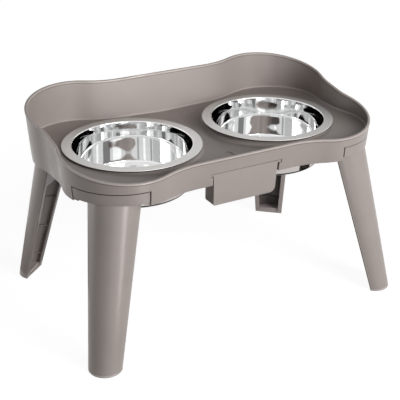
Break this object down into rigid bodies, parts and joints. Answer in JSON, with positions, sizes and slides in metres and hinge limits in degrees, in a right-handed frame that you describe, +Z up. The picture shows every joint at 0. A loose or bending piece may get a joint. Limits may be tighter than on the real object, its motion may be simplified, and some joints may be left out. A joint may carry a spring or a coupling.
{
  "type": "elevated pet feeder",
  "caption": "Elevated pet feeder: a bone-shaped splash tray on plug-in channel legs, with steel bowls that lift out and a pull-out drip drawer.",
  "frame": {"origin": "on the ground under the middle of the tray", "axes": "+X along the tray to the right as seen from the low front, +Y to the high back wall, +Z up"},
  "size_m": [0.507, 0.337, 0.3083],
  "materials": {
    "tray_plastic": "satin moulded taupe-grey plastic",
    "leg_plastic": "satin moulded taupe-grey plastic",
    "drawer_plastic": "satin moulded taupe-grey plastic",
    "bowl_steel": "polished stainless steel with a satin flat rim",
    "seat_ring_silicone": "dark soft silicone",
    "foot_rubber": "matte taupe-grey rubber"
  },
  "bodies": {
    "tray": {"tray": "tray_plastic", "bowl_seat_ring_left": "seat_ring_silicone", "bowl_seat_ring_right": "seat_ring_silicone"},
    "left_bowl": {"bowl_left": "bowl_steel"},
    "right_bowl": {"bowl_right": "bowl_steel"},
    "front_left_leg": {"front_left_leg": "leg_plastic", "front_left_foot_cap": "foot_rubber"},
    "front_right_leg": {"front_right_leg": "leg_plastic", "front_right_foot_cap": "foot_rubber"},
    "rear_left_leg": {"rear_left_leg": "leg_plastic", "rear_left_foot_cap": "foot_rubber"},
    "rear_right_leg": {"rear_right_leg": "leg_plastic", "rear_right_foot_cap": "foot_rubber"},
    "drip_drawer": {"drip_drawer": "drawer_plastic"}
  },
  "joints": [
    {"name": "left_bowl_lift", "type": "slide", "parent": "tray", "child": "left_bowl", "axis": [0, 0, 1], "range_m": [0, 0.11]},
    {"name": "right_bowl_lift", "type": "slide", "parent": "tray", "child": "right_bowl", "axis": [0, 0, 1], "range_m": [0, 0.11]},
    {"name": "front_left_leg_plug", "type": "slide", "parent": "tray", "child": "front_left_leg", "axis": [-0.1938, -0.2195, -0.9562], "range_m": [0, 0.08]},
    {"name": "front_right_leg_plug", "type": "slide", "parent": "tray", "child": "front_right_leg", "axis": [0.1938, -0.2195, -0.9562], "range_m": [0, 0.08]},
    {"name": "rear_left_leg_plug", "type": "slide", "parent": "tray", "child": "rear_left_leg", "axis": [-0.1689, 0.2206, -0.9606], "range_m": [0, 0.08]},
    {"name": "rear_right_leg_plug", "type": "slide", "parent": "tray", "child": "rear_right_leg", "axis": [0.1689, 0.2206, -0.9606], "range_m": [0, 0.08]},
    {"name": "drip_drawer_pull", "type": "slide", "parent": "tray", "child": "drip_drawer", "axis": [0, -1, 0], "range_m": [0, 0.03]}
  ]
}
